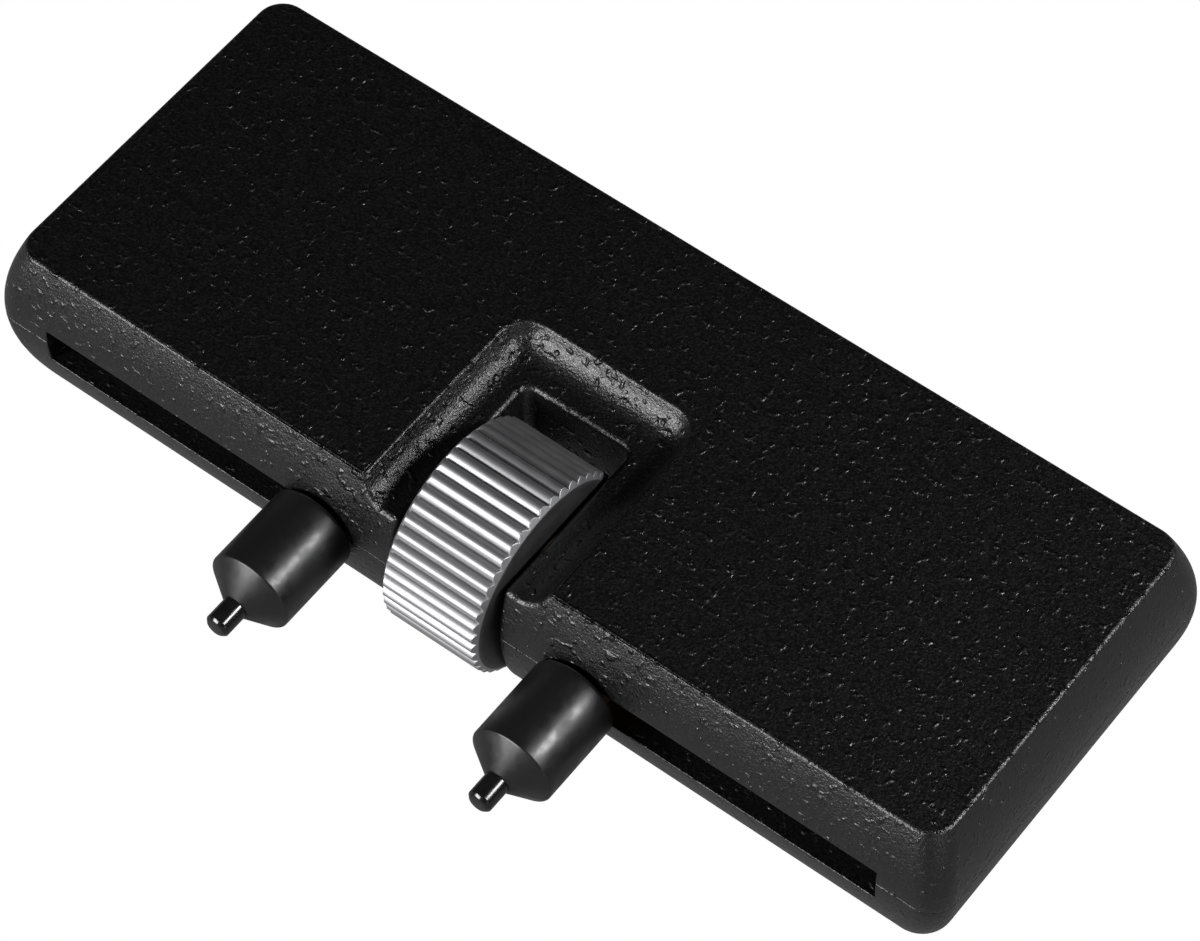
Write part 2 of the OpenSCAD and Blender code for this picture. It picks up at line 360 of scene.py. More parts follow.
def refine(node: str, name: str, width: float, material: bpy.types.Material, body: str, slot: str) -> None:
    """Round the edges of a copy of a node of the frame, and hand the copy over.

    Args:
        node: Name of the node.
        name: Name of the copy.
        width: Width of the rounding in millimetres.
        material: The copy's material.
        body: The body that it rides on.
        slot: A slot name, handed on to hand_over.
    """
    item = linked(name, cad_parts[node].data.copy())
    soften(item, width, angle=45)
    hand_over(item, material, body, slot, node)


# ---- node helpers ----------------------------------------------------------


class Wiring:
    """Adds nodes to a tree and links them."""

    def __init__(self, tree: bpy.types.NodeTree) -> None:
        """Keep the tree that nodes are added to."""
        self.tree = tree

    def add(self, kind: str, **settings: object) -> bpy.types.Node:
        """Add a node by Blender's name of its type, and set its properties."""
        node = self.tree.nodes.new(kind)
        for key, value in settings.items():
            setattr(node, key, value)
        return node

    def feed(self, socket: bpy.types.NodeSocket, value: object) -> None:
        """Link an input to an output socket, or set it to a number or a tuple."""
        if isinstance(value, bpy.types.NodeSocket):
            self.tree.links.new(value, socket)
        else:
            socket.default_value = value

    def filled(self, node: bpy.types.Node, *values: object) -> bpy.types.Node:
        """Feed a node's first inputs in their order."""
        for socket, value in zip(node.inputs, values):
            self.feed(socket, value)
        return node

    def maths(self, operation: str, *values: object) -> bpy.types.NodeSocket:
        """Add a Math node and give its output."""
        return self.filled(self.add("ShaderNodeMath", operation=operation), *values).outputs[0]

    def vector(self, operation: str, *values: object) -> bpy.types.Node:
        """Add a Vector Math node."""
        return self.filled(self.add("ShaderNodeVectorMath", operation=operation), *values)

    def scaled(self, vector: object, scale: object) -> bpy.types.NodeSocket:
        """Multiply a vector by a number."""
        node = self.vector("SCALE", vector)
        self.feed(node.inputs["Scale"], scale)
        return node.outputs[0]

    def split(self, vector: object) -> bpy.types.bpy_prop_collection:
        """Take a vector apart into x, y and z."""
        return self.filled(self.add("ShaderNodeSeparateXYZ"), vector).outputs

    def joined(self, *parts: object) -> bpy.types.NodeSocket:
        """Join x, y and z into a vector."""
        return self.filled(self.add("ShaderNodeCombineXYZ"), *parts).outputs[0]

    def object_mm(self) -> bpy.types.NodeSocket:
        """Give the place in the object's own space, in millimetres."""
        return self.scaled(self.add("ShaderNodeTexCoord").outputs["Object"], 1 / MM)

    def ramp(self, value: object, low: object, high: object, to_low: object = 0.0,
             to_high: object = 1.0, smooth_steps: bool = True) -> bpy.types.NodeSocket:
        """Add a Map Range node.

        Args:
            value: The value that is mapped.
            low: Where the range starts.
            high: Where the range ends.
            to_low: Result at the start.
            to_high: Result at the end.
            smooth_steps: Whether the ends are eased.

        Returns:
            The mapped value.
        """
        node = self.add("ShaderNodeMapRange", interpolation_type="SMOOTHSTEP" if smooth_steps else "LINEAR")
        for key, given in (("Value", value), ("From Min", low), ("From Max", high),
                           ("To Min", to_low), ("To Max", to_high)):
            self.feed(node.inputs[key], given)
        return node.outputs[0]

    def noise(self, place: object, scale: object, detail: float, rough: float) -> bpy.types.NodeSocket:
        """Add a Noise Texture node.

        Args:
            place: The coordinates.
            scale: Its scale.
            detail: Its number of octaves.
            rough: How strong the finer octaves are.

        Returns:
            Its factor.
        """
        node = self.add("ShaderNodeTexNoise")
        for key, given in (("Vector", place), ("Scale", scale), ("Detail", detail), ("Roughness", rough)):
            self.feed(node.inputs[key], given)
        return node.outputs["Fac"]

    def group(self, tree: bpy.types.NodeTree, **values: object) -> bpy.types.bpy_prop_collection:
        """Add a shader group, its inputs set by name with spaces written as underscores."""
        node = self.add("ShaderNodeGroup", node_tree=tree)
        for label, value in values.items():
            self.feed(node.inputs[label.replace("_", " ")], value)
        return node.outputs


class Group(Wiring):
    """A node group with named sockets."""

    def __init__(self, name: str, kind: str, inputs: dict[str, str], outputs: dict[str, str]) -> None:
        """Start the group.

        Args:
            name: Name of the group.
            kind: Blender's name of its type.
            inputs: The kind of each input by name.
            outputs: The kind of each output by name.
        """
        super().__init__(bpy.data.node_groups.new(name, kind))
        self.identifiers = {label: self.open(label, "INPUT", sort) for label, sort in inputs.items()}
        for label, sort in outputs.items():
            self.open(label, "OUTPUT", sort)
        self.given = self.add("NodeGroupInput").outputs

    def open(self, label: str, way: str, kind: str) -> str:
        """Give the group a socket and tell its identifier."""
        socket = self.tree.interface.new_socket(label, in_out=way, socket_type=f"NodeSocket{kind}")
        return socket.identifier

    def close(self, *results: object) -> bpy.types.NodeTree:
        """Feed the group's outputs in their order, and give its tree."""
        self.filled(self.add("NodeGroupOutput"), *results)
        return self.tree


@cache
def grain_group() -> bpy.types.NodeTree:
    """Build the moulded grain: low flat islands with sloped edges on a fine, uneven skin.

    Returns:
        The node group, with outputs for height, islands and fine grain.
    """
    sizes = ("Island size", "Island share", "Island edge", "Fine size", "Fine share")
    wire = Group("moulded_grain", "ShaderNodeTree", dict.fromkeys(sizes, "Float"),
                 dict.fromkeys(("Height", "Islands", "Fine"), "Float"))
    given, place = wire.given, wire.object_mm()
    blobs = wire.noise(place, wire.maths("DIVIDE", 1.0, given["Island size"]), detail=1.5, rough=0.45)
    low = wire.maths("SUBTRACT", 1.0, given["Island share"])
    islands = wire.ramp(blobs, low, wire.maths("ADD", low, given["Island edge"]))
    fine = wire.noise(place, wire.maths("DIVIDE", 1.0, given["Fine size"]), detail=2.0, rough=0.6)
    return wire.close(wire.maths("MULTIPLY_ADD", fine, given["Fine share"], islands), islands, fine)


@cache
def lathe_group() -> bpy.types.NodeTree:
    """Build the fine rings of turned parts.

    Both mirrored sides of the object share it, so it reads the distance from the middle
    plane and not its sign.

    Returns:
        The node group, with outputs for the rings, a cloud, and the radius and distance in mm.
    """
    wire = Group("lathe_rings", "ShaderNodeTree",
                 {"Centre": "Vector", "Axis": "Vector", "Ring": "Float", "Wander": "Float"},
                 dict.fromkeys(("Height", "Cloud", "Radius", "Along"), "Float"))
    given, place = wire.given, wire.object_mm()
    x, y, z = wire.split(place)
    mirrored = wire.joined(wire.maths("ABSOLUTE", x), y, z)
    local = wire.vector("SUBTRACT", mirrored, given["Centre"]).outputs[0]
    along = wire.vector("DOT_PRODUCT", local, given["Axis"]).outputs["Value"]
    across = wire.vector("SUBTRACT", local, wire.scaled(given["Axis"], along)).outputs[0]
    radius = wire.vector("LENGTH", across).outputs["Value"]
    cloud = wire.noise(place, scale=0.9, detail=3.0, rough=0.6)
    ring_place = wire.joined(wire.maths("MULTIPLY_ADD", cloud, given["Wander"], along), radius)
    rings = wire.noise(ring_place, wire.maths("DIVIDE", 1.0, given["Ring"]), detail=1.0, rough=0.5)
    return wire.close(rings, cloud, radius, along)


# ---- finishes --------------------------------------------------------------


class Coat(Wiring):
    """The nodes of one material round its shader."""

    def __init__(self, material: bpy.types.Material) -> None:
        """Find the shader's inputs."""
        super().__init__(material.node_tree)
        self.shader = material.node_tree.nodes["Principled BSDF"].inputs

    def blend(self, mask: bpy.types.NodeSocket, first: object, second: object) -> bpy.types.NodeSocket:
        """Colour the shader with a blend of two colours.

        Args:
            mask: Where the second colour shows.
            first: One colour, as a socket or four numbers.
            second: The other colour.

        Returns:
            The blended colour.
        """
        mix = self.add("ShaderNodeMix", data_type="RGBA")
        for label, value in (("Factor", mask), ("A", first), ("B", second)):
            self.feed(mix.inputs[label], value)
        self.feed(self.shader["Base Color"], mix.outputs["Result"])
        return mix.outputs["Result"]


@dataclass(frozen=True)
class Finish:
    """What every finish has: its name, colour and gloss, and how far stains and painted shade change them."""

    name: str
    colour: Point3
    roughness: float
    roughness_swing: float = 0.08
    metallic: float = 0.0
    specular: float = 0.5
    bump_mm: float = 0.005
    stain_tint: float = 0.5
    stain_span: Point = (0.4, 0.75)
    gloss_span: Point = (0.3, 0.7)

    def material(self) -> bpy.types.Material:
        """Make the material.

        Returns:
            The material, with the nodes that the kind of finish adds.
        """
        material = bpy.data.materials.new(self.name)
        material.use_nodes = True
        coat = Coat(material)
        coat.shader["Metallic"].default_value = self.metallic
        coat.shader["Specular IOR Level"].default_value = self.specular
        self.paint(coat)
        return material

    def paint(self, coat: Coat) -> None:
        """Feed the shader, each kind of finish in its own way."""
        raise NotImplementedError

    def stain(self, coat: Coat, mask: bpy.types.NodeSocket) -> bpy.types.NodeSocket:
        """Blend the colour by a mask towards a shade of it, for stains and for painted shade, and give the
        blend.
        """
        stain_and_shade_colour = (self.stain_tint * c for c in self.colour)
        return coat.blend(mask, (*self.colour, 1), (*stain_and_shade_colour, 1))

    def gloss(self, coat: Coat, mask: bpy.types.NodeSocket) -> bpy.types.NodeSocket:
        """Let the roughness swing about its middle value by a mask."""
        return coat.ramp(mask, *self.gloss_span, self.roughness - self.roughness_swing,
                         self.roughness + self.roughness_swing)

    def surface(self, coat: Coat, rough: bpy.types.NodeSocket, height: bpy.types.NodeSocket) -> None:
        """Feed the shader's roughness, and its normal with the bump of a height of 0 to 1."""
        coat.feed(coat.shader["Roughness"], rough)
        bump = coat.add("ShaderNodeBump")
        bump.inputs["Distance"].default_value = self.bump_mm * MM
        coat.feed(bump.inputs["Height"], height)
        coat.feed(coat.shader["Normal"], bump.outputs["Normal"])


@dataclass(frozen=True)
class MouldedPlastic(Finish):
    """Black plastic with the low islands and fine skin of a spark-eroded mould."""

    stain_tint: float = 1.5
    stain_span: Point = (0.35, 0.75)
    island_mm: float = 0.6
    island_share: float = 0.44
    island_edge: float = 0.22
    island_gloss: float = 0.04
    fine_mm: float = 0.17
    fine_share: float = 0.62

    def paint(self, coat: Coat) -> None:
        """Feed the shader with the grain; the islands shine a little more."""
        grain = coat.group(grain_group(), Island_size=self.island_mm, Island_share=self.island_share,
                           Island_edge=self.island_edge, Fine_size=self.fine_mm, Fine_share=self.fine_share)
        self.stain(coat, coat.ramp(grain["Fine"], *self.stain_span))
        rough = self.gloss(coat, grain["Fine"])
        rough = coat.maths("MULTIPLY_ADD", grain["Islands"], -self.island_gloss, rough)
        self.surface(coat, rough, grain["Height"])


@dataclass(frozen=True)
class TurnedMetal(Finish):
    """Metal that came off a lathe, with fine rings about its own axis.

    A knurled wheel of it also has painted shade in its groove bottoms and a darker end face.
    """

    centre_mm: Point3 = (0.0, 0.0, 0.0)
    axis: Point3 = (1.0, 0.0, 0.0)
    ring_mm: float = 0.08
    wander: float = 0.03
    # Where the painted shade in the groove bottoms lies, and how much cloud stain stays beside it.
    groove_below_mm: float = 0.0
    groove_depth_mm: float = 0.15
    groove_cloud: float = 0.15
    face_from_mm: float = 0.0
    face_edge_mm: Point = (0.06, 0.02)
    face_colour: Point3 = (0.15, 0.15, 0.155)
    chamfer_mm: float = 0.3

    def paint(self, coat: Coat) -> None:
        """Feed the shader with the rings, and with the painted groove shade and the end face if there are
        any.
        """
        rings = coat.group(lathe_group(), Centre=self.centre_mm, Axis=self.axis, Ring=self.ring_mm,
                           Wander=self.wander)
        mask = coat.ramp(rings["Cloud"], *self.stain_span)
        # Painted shade: the groove bottoms of a knurl are darkened, but not on the chamfer or the end face.
        if self.groove_below_mm:
            groove_shade = coat.ramp(rings["Radius"], self.groove_below_mm - self.groove_depth_mm,
                             self.groove_below_mm, 1.0, 0.0)
            inner = self.face_from_mm - self.chamfer_mm
            rim = coat.ramp(rings["Along"], inner - self.face_edge_mm[0], inner, 1.0, 0.0)
            mask = coat.maths("MAXIMUM", coat.maths("MULTIPLY", mask, self.groove_cloud),
                              coat.maths("MULTIPLY", groove_shade, rim))
        colour = self.stain(coat, mask)
        if self.face_from_mm:
            edge = (self.face_from_mm - inwards for inwards in self.face_edge_mm)
            coat.blend(coat.ramp(rings["Along"], *edge), colour, (*self.face_colour, 1))
        self.surface(coat, self.gloss(coat, rings["Cloud"]), rings["Height"])


@dataclass(frozen=True)
class MilledMetal(Finish):
    """Metal with the close parallel marks of a cutter, and small pores if it is sintered."""

    stain_tint: float = 0.55
    stain_span: Point = (0.4, 0.8)
    mark_mm: float = 0.06
    mark_stretch: float = 0.06
    pore_mm: float = 0.0
    pore_span: Point = (0.6, 0.7)

    def paint(self, coat: Coat) -> None:
        """Feed the shader with the marks, and with the pores if there are any."""
        place = coat.add("ShaderNodeTexCoord").outputs["Object"]
        stretched = coat.vector("MULTIPLY", place, (1 / MM, self.mark_stretch / MM, 1 / MM)).outputs[0]
        height = coat.noise(stretched, 1 / self.mark_mm, detail=2.0, rough=0.5)
        spread = coat.object_mm()
        cloud = coat.noise(spread, scale=1.1, detail=3.0, rough=0.6)
        mask = coat.ramp(cloud, *self.stain_span)
        if self.pore_mm:
            pores = coat.noise(spread, 1 / self.pore_mm, detail=1.0, rough=0.5)
            pores = coat.ramp(pores, *self.pore_span)
            mask = coat.maths("MAXIMUM", mask, pores)
            height = coat.maths("SUBTRACT", height, pores)
        self.stain(coat, mask)
        self.surface(coat, self.gloss(coat, cloud), height)


# ---- geometry trees --------------------------------------------------------


class GeometryTree(Group):
    """A geometry node tree with named inputs, which ends in real faces and a material."""

    def __init__(self, name: str, *sizes: str) -> None:
        """Start the tree with its number inputs."""
        numbers = dict.fromkeys(sizes, "Float")
        super().__init__(name, "GeometryNodeTree",
                         {"Geometry": "Geometry", **numbers, "Piece": "Object", "Material": "Material"},
                         {"Geometry": "Geometry"})

    def end(self, geometry: bpy.types.NodeSocket) -> None:
        """Make instances real, set the material and close the tree."""
        real = self.filled(self.add("GeometryNodeRealizeInstances"), geometry)
        painted = self.add("GeometryNodeSetMaterial")
        self.feed(painted.inputs["Geometry"], real.outputs[0])
        self.feed(painted.inputs["Material"], self.given["Material"])
        self.close(painted.outputs[0])

    def apply(self, item: bpy.types.Object, **values: object) -> bpy.types.Object:
        """Run the tree on an object and keep the result as a plain mesh.

        Args:
            item: The object.
            values: The tree's inputs by name, with spaces written as underscores.

        Returns:
            The same object.
        """
        modifier = item.modifiers.new(self.tree.name, "NODES")
        modifier.node_group = self.tree
        for label, value in values.items():
            modifier[self.identifiers[label.replace("_", " ")]] = value
        return settle(item)


class RadialTree(GeometryTree):
    """A tree that moves points towards an axis along X, with its places in millimetres."""

    def __init__(self, name: str, *sizes: str) -> None:
        """Start the tree and find each point's place about the axis."""
        super().__init__(name, "Axis Y", "Axis Z", *sizes)
        place = self.add("GeometryNodeInputPosition").outputs[0]
        self.x, y, z = self.split(self.scaled(place, 1 / MM))
        self.y = self.maths("SUBTRACT", y, self.given["Axis Y"])
        self.z = self.maths("SUBTRACT", z, self.given["Axis Z"])
        squares = [self.maths("MULTIPLY", part, part) for part in (self.y, self.z)]
        self.radius = self.maths("SQRT", self.maths("ADD", *squares))
        self.angle = self.maths("ARCTAN2", self.z, self.y)

    def carve(self, crest: bpy.types.NodeSocket, drop: bpy.types.NodeSocket) -> None:
        """Keep every point under a crest radius less its own drop, and close the tree."""
        radius = self.maths("MINIMUM", self.radius, self.maths("SUBTRACT", crest, drop))
        share = self.maths("DIVIDE", radius, self.maths("MAXIMUM", self.radius, TINY_MM))
        place = self.joined(self.x, self.maths("MULTIPLY_ADD", self.y, share, self.given["Axis Y"]),
                            self.maths("MULTIPLY_ADD", self.z, share, self.given["Axis Z"]))
        moved = self.add("GeometryNodeSetPosition")
        self.feed(moved.inputs["Geometry"], self.given["Geometry"])
        self.feed(moved.inputs["Position"], self.scaled(place, MM))
        self.end(moved.outputs[0])


def knurl_tree() -> GeometryTree:
    """Build the tree that cuts round-topped ridges into a turned blank.

    Returns:
        The tree; its ridges meet in narrow grooves and stop at the blank's own chamfers.
    """
    tree = RadialTree("knurl", "Rim radius", "Ridges", "Depth", "Fullness")
    turn = tree.maths("MULTIPLY", tree.angle, tree.maths("MULTIPLY", tree.given["Ridges"], 0.5))
    wave = tree.maths("ABSOLUTE", tree.maths("COSINE", turn))
    full = tree.maths("POWER", wave, tree.given["Fullness"])
    drop = tree.maths("MULTIPLY", tree.maths("SUBTRACT", 1.0, full), tree.given["Depth"])
    tree.carve(tree.given["Rim radius"], drop)
    return tree


def thread_tree() -> GeometryTree:
    """Build the tree that cuts a right-hand and a left-hand thread either side of the middle.

    Returns:
        The tree; between its start and end the blank's radius follows the thread.
    """
    tree = RadialTree("opposite_threads", "Pitch", "Depth", "Crest radius", "Start", "End", "Run out")
    given = tree.given
    far = tree.maths("ABSOLUTE", tree.x)
    turn = tree.maths("DIVIDE", tree.angle, 2 * math.pi)
    phase = tree.maths("FRACT", tree.maths("ADD", tree.maths("DIVIDE", far, given["Pitch"]), turn))
    peak = tree.maths("ABSOLUTE", tree.maths("MULTIPLY_ADD", phase, 2.0, -1.0))
    flank = tree.ramp(peak, *THREAD_FLANK, smooth_steps=False)
    inside = tree.ramp(far, given["Start"], tree.maths("ADD", given["Start"], given["Run out"]))
    outside = tree.ramp(far, tree.maths("SUBTRACT", given["End"], given["Run out"]), given["End"], 1.0, 0.0)
    drop = tree.maths("MULTIPLY", tree.maths("MULTIPLY", flank, given["Depth"]),
                      tree.maths("MULTIPLY", inside, outside))
    tree.carve(given["Crest radius"], drop)
    return tree


def scatter_tree() -> GeometryTree:
    """Build the tree that sets one fastener at every point of a mesh."""
    tree = GeometryTree("fasteners")
    source = tree.add("GeometryNodeObjectInfo", transform_space="RELATIVE")
    tree.feed(source.inputs["Object"], tree.given["Piece"])
    placed = tree.add("GeometryNodeInstanceOnPoints")
    tree.feed(placed.inputs["Points"], tree.given["Geometry"])
    tree.feed(placed.inputs["Instance"], source.outputs["Geometry"])
    tree.end(placed.outputs[0])
    return tree


# ---- housing ---------------------------------------------------------------


@dataclass(frozen=True)
class Slope:
    """The section of one side of the recess: a hollow foot, a straight face and a round lip."""

    foot: float
    angle: float
    lip: float

    def run(self, height: float, depth: float) -> float:
        """Tell how far from the floor's edge the section has come at a height.

        Args:
            height: Height above the floor.
            depth: Depth of the whole recess.

        Returns:
            The distance, in millimetres.
        """
        a = math.radians(self.angle)
        foot_rise, lip_rise = self.foot * (1 - math.cos(a)), self.lip * (1 - math.cos(a))
        straight = max(0.0, min(height, depth - lip_rise) - foot_rise) / math.tan(a)
        under = min(height, foot_rise)
        run = math.sqrt(self.foot ** 2 - (self.foot - under) ** 2) + straight
        left = max(0.0, depth - height)
        if left < lip_rise:
            run += self.lip * math.sin(a) - math.sqrt(self.lip ** 2 - (self.lip - left) ** 2)
        return run


@dataclass
class Recess:
    """The thumb recess round the wheel in the top face."""

    half_width: float = 7.25
    back: float = 2.55
    depth: float = 1.65
    side: Slope = Slope(1.9, 60.0, 0.3)
    rear: Slope = Slope(2.4, 60.0, 0.25)
    corner: float = 2.1
    floor_corner: float = 0.7
    steps: int = 26
    corner_steps: int = 10
    top_gap: float = 0.0005
    above: float = 1.0

    def tool(self, top: float, front: float) -> bpy.types.Object:
        """Build the body that cuts the recess out of the top face.

        Args:
            top: Height of the top face.
            front: Where the body ends in front of the housing.

        Returns:
            The cutting body.
        """
        rings = []
        heights = [self.depth * (1 - math.cos(math.pi * k / self.steps)) / 2 for k in range(self.steps)]
        full = (self.side.run(self.depth, self.depth), self.rear.run(self.depth, self.depth))
        for height in [*heights, self.depth - self.top_gap, self.depth + self.above]:
            x = self.half_width - full[0] + self.side.run(height, self.depth)
            y = self.back - full[1] + self.rear.run(height, self.depth)
            share = min(height / self.depth, 1)
            corner = self.floor_corner + (self.corner - self.floor_corner) * share
            outline = rounded_outline(-x, x, front, y, corner, self.corner_steps)
            rings.append([(px, py, top - self.depth + height) for px, py in outline])
        return lofted("recess_tool", rings)


@dataclass
class Housing:
    """The two crowned mouldings with their openings, channels, hollows and screws."""

    material: bpy.types.Material
    screw_material: bpy.types.Material
    crown: float = 1.4
    corner: float = 1.8
    crease: float = 0.34
    crease_steps: int = 5
    levels: int = 12
    edge: float = 0.09
    notch_x: float = 4.05
    notch_back: float = -0.85
    notch_corner: float = 0.7
    notch_edge: float = 0.4
    channel_x: Point = (6.7, 33.05)
    channel_y: Point = (-12.7, -5.2)
    channel_z: Point = (2.0, 10.0)
    channel_corner: float = 0.4
    bearing_radius: float = 3.23
    journal_bore: float = 2.73
    journal_length: float = 1.6
    slot_x: Point = (7.8, 32.0)
    slot_z: Point = (4.05, 7.15)
    slot_corner: float = 0.2
    wall: float = 1.6
    rib: float = 1.6
    hollow_corner: float = 1.2
    boss_radius: float = 2.5
    boss_merge: float = 0.6
    screw_radius: float = 1.0
    screw_length: float = 8.4
    screw_edge: float = 0.2
    screw_fit: float = 0.03
    head_radius: float = 1.9
    head_edge: Point = (0.06, 0.05)
    drive_slot: Point = (0.25, 0.5)
    lap: float = 0.1
    clear: float = 1.0
    front_reach: float = 6.0
    near: float = 0.02
    recess: Recess = field(default_factory=Recess)

    def __post_init__(self) -> None:
        """Take the overall sizes from the frame."""
        part, high = box_mm("upper_shell")
        self.half_x, self.half_y = high.x, high.y
        self.height, self.middle = high.z, part.z
        self.front = -self.half_y - self.front_reach
        self.axis_y = centre_of("thumbwheel")[1]

    def inset(self, z: float) -> float:
        """How far the walls draw in at a height, in millimetres."""
        return self.crown * ((z - self.middle) / self.middle) ** 2

    def wall_line(self) -> list[Point]:
        """Draw the upper half of a wall, from the parting to the top face.

        Returns:
            Pairs of inset and height; a small arc turns the wall into the top face.
        """
        slope = math.atan(2 * self.crown / self.middle)
        meet = self.height - self.crease * (1 - math.sin(slope))
        line = [(self.inset(z), z) for z in
                (self.middle + (meet - self.middle) * i / self.levels for i in range(self.levels + 1))]
        centre = (self.inset(meet) + self.crease * math.cos(slope), meet - self.crease * math.sin(slope))
        for step in range(1, self.crease_steps + 1):
            angle = slope + (math.pi / 2 - slope) * step / self.crease_steps
            line.append((centre[0] - self.crease * math.cos(angle),
                         centre[1] + self.crease * math.sin(angle)))
        return line

    def blank(self, half: Half) -> bpy.types.Object:
        """Loft one solid half of the housing.

        Args:
            half: Which half.

        Returns:
            The solid half, before anything is cut.
        """
        rings = []
        for inset, z in self.wall_line():
            extra = max(0.0, inset - self.inset(z))
            outline = rounded_outline(-self.half_x + inset, self.half_x - inset,
                                      -self.half_y + inset, self.half_y - inset, self.corner - extra)
            level = z if half is Half.UPPER else 2 * self.middle - z
            rings.append([(x, y, level) for x, y in outline])
        return lofted(f"{half.value}_housing", rings)

    def screw_places(self) -> list[Point]:
        """Where the four housing screws stand."""
        reach = self.boss_radius - self.boss_merge
        outer = (self.half_x - self.wall - reach, self.half_y - self.wall - reach)
        inner = (self.channel_x[0] + self.rib + 2 * self.boss_radius, self.channel_y[1] + self.rib + reach)
        return [(side.value * x, y) for side in Side for x, y in (outer, inner)]

    def hollow_tools(self) -> list[bpy.types.Object]:
        """Build the bodies that hollow the housing behind the spindle, bosses left standing."""
        back, side_x = self.half_y - self.wall, self.half_x - self.wall
        start_x, start_y = self.channel_x[0] + self.rib, self.channel_y[1] + self.rib
        centre_y = self.recess.back + self.rib
        areas = [(-self.channel_x[0], self.channel_x[0], centre_y),
                 (start_x, side_x, start_y), (-side_x, -start_x, start_y)]
        tools = []
        for x0, x1, y0 in areas:
            outline = rounded_outline(x0, x1, y0, back, self.hollow_corner, 4)
            tool = lofted("hollow", [[(x, y, z) for x, y in outline] for z in self.channel_z])
            for x, y in self.screw_places():
                if x0 < x < x1:
                    cut(tool, rod("boss", Turning.Z, (x, y, 0), self.height, self.boss_radius))
            tools.append(tool)
        return tools

    def works_tools(self) -> list[bpy.types.Object]:
        """Build the bodies that make room for the wheel, spindle, carriages and claws."""
        lap, beyond = self.lap, 2 * self.clear
        tools = [block("notch", (-self.notch_x, self.front, -beyond),
                       (self.notch_x, self.notch_back, self.height + beyond), self.notch_corner)]
        for side in Side:
            s = side.value
            ends = sorted((s * self.channel_x[0], s * self.channel_x[1]))
            slot = sorted((s * self.slot_x[0], s * self.slot_x[1]))
            tools.append(block("channel", (ends[0], self.channel_y[0], self.channel_z[0]),
                               (ends[1], self.channel_y[1], self.channel_z[1]), self.channel_corner))
            tools.append(block("slot", (slot[0], self.front, self.slot_z[0]),
                               (slot[1], self.channel_y[0] + 5 * lap, self.slot_z[1]), self.slot_corner))
            inner = min(s * (self.notch_x - lap), s * (self.channel_x[0] + lap))
            outer = min(s * (self.channel_x[1] - lap), s * (self.channel_x[1] + self.journal_length))
            for name, start, length, radius in (
                    ("bearing_bore", inner, self.channel_x[0] - self.notch_x + 2 * lap, self.bearing_radius),
                    ("journal_bore", outer, self.journal_length + lap, self.journal_bore)):
                tools.append(rod(name, Turning.X, (start, self.axis_y, self.middle), length, radius))
        return tools

    def screw_tools(self, half: Half) -> list[bpy.types.Object]:
        """Build the bodies that cut the screw holes of one half."""
        tools = []
        lap, loose = 2 * self.lap, self.screw_radius + self.screw_fit
        sink = self.head_radius - self.screw_radius
        for x, y in self.screw_places():
            if half is Half.UPPER:
                length = self.screw_length - self.middle + 1.3 * self.clear
                tools.append(rod("screw_hole", Turning.Z, (x, y, self.middle - self.clear), length,
                                 self.screw_radius))
            else:
                tools.append(rod("screw_hole", Turning.Z, (x, y, -self.clear), self.middle + 2 * self.clear,
                                 loose))
                tools.append(rod("countersink", Turning.Z, (x, y, -lap), sink + lap,
                                 self.head_radius + self.screw_fit + lap, loose))
        return tools

    def edge_width(self, *ends: Vector) -> float:
        """Tell the width of the rounding along the mouth of the wheel's opening.

        Args:
            ends: The two ends of an edge, in millimetres.

        Returns:
            The width, or 0 if the edge isn't part of the mouth.
        """
        level, near = self.height - self.recess.depth, self.near
        skin = -self.half_y + self.crown
        on_wall = all(abs(abs(p.x) - self.notch_x) < near or abs(p.y - self.notch_back) < near
                      or (abs(p.x) < self.notch_x and p.y > self.notch_back - self.notch_corner)
                      for p in ends)
        at_mouth = all(abs(p.z - level) < near for p in ends)
        in_front = all(p.y < skin + self.lap / 2 and p.z > 1.5 * self.crown for p in ends)
        if on_wall and (at_mouth or in_front):
            return self.notch_edge
        rim = all(p.y < skin + self.lap and p.z > level - near
                  and abs(p.x) < self.recess.half_width + self.lap / 2 for p in ends)
        return self.crease if rim else 0.0

    def build_half(self, half: Half) -> None:
        """Build and dress one moulding."""
        item = self.blank(half)
        tools = self.works_tools() + self.hollow_tools() + self.screw_tools(half)
        if half is Half.UPPER:
            tools.append(self.recess.tool(self.height, self.front))
        for tool in tools:
            cut(item, tool)
        soften(item, self.edge, 4, widest=self.notch_edge, width_at=self.edge_width)
        hand_over(item, self.material, "housing", "housing", f"{half.value}_shell")

    def build_screws(self) -> None:
        """Build the housing screws, one turned fastener set at each place."""
        top, edge, length, r = self.head_radius, self.screw_edge, self.screw_length, self.screw_radius
        rim, bevel = self.head_edge
        profile = [(0, 0), (top - rim, 0), (top, bevel), (r, top - r), (r, length - edge), (r - edge, length),
                   (0, length)]
        one = turned("one_screw", profile, Turning.Z, (0, 0, 0), 48)
        arm, (width, depth) = top / 2, self.drive_slot
        cut(one, block("drive_slot", (-arm, -width, -self.clear), (arm, width, depth)))
        cut(one, block("drive_slot", (-width, -arm, -self.clear), (width, arm, depth)))
        soften(one, self.screw_fit)
        places = [(x, y, 0.0) for x, y in self.screw_places()]
        screws = new_object("housing_screws", places, [])
        scatter_tree().apply(screws, Piece=one, Material=self.screw_material)
        bpy.data.objects.remove(one)
        hand_over(screws, self.screw_material, "housing", "screw_steel", "cover_screws")

    def build(self) -> None:
        """Build everything that the housing itself is made of."""
        for half in Half:
            self.build_half(half)
        self.build_screws()


# ---- wheel and spindle -----------------------------------------------------


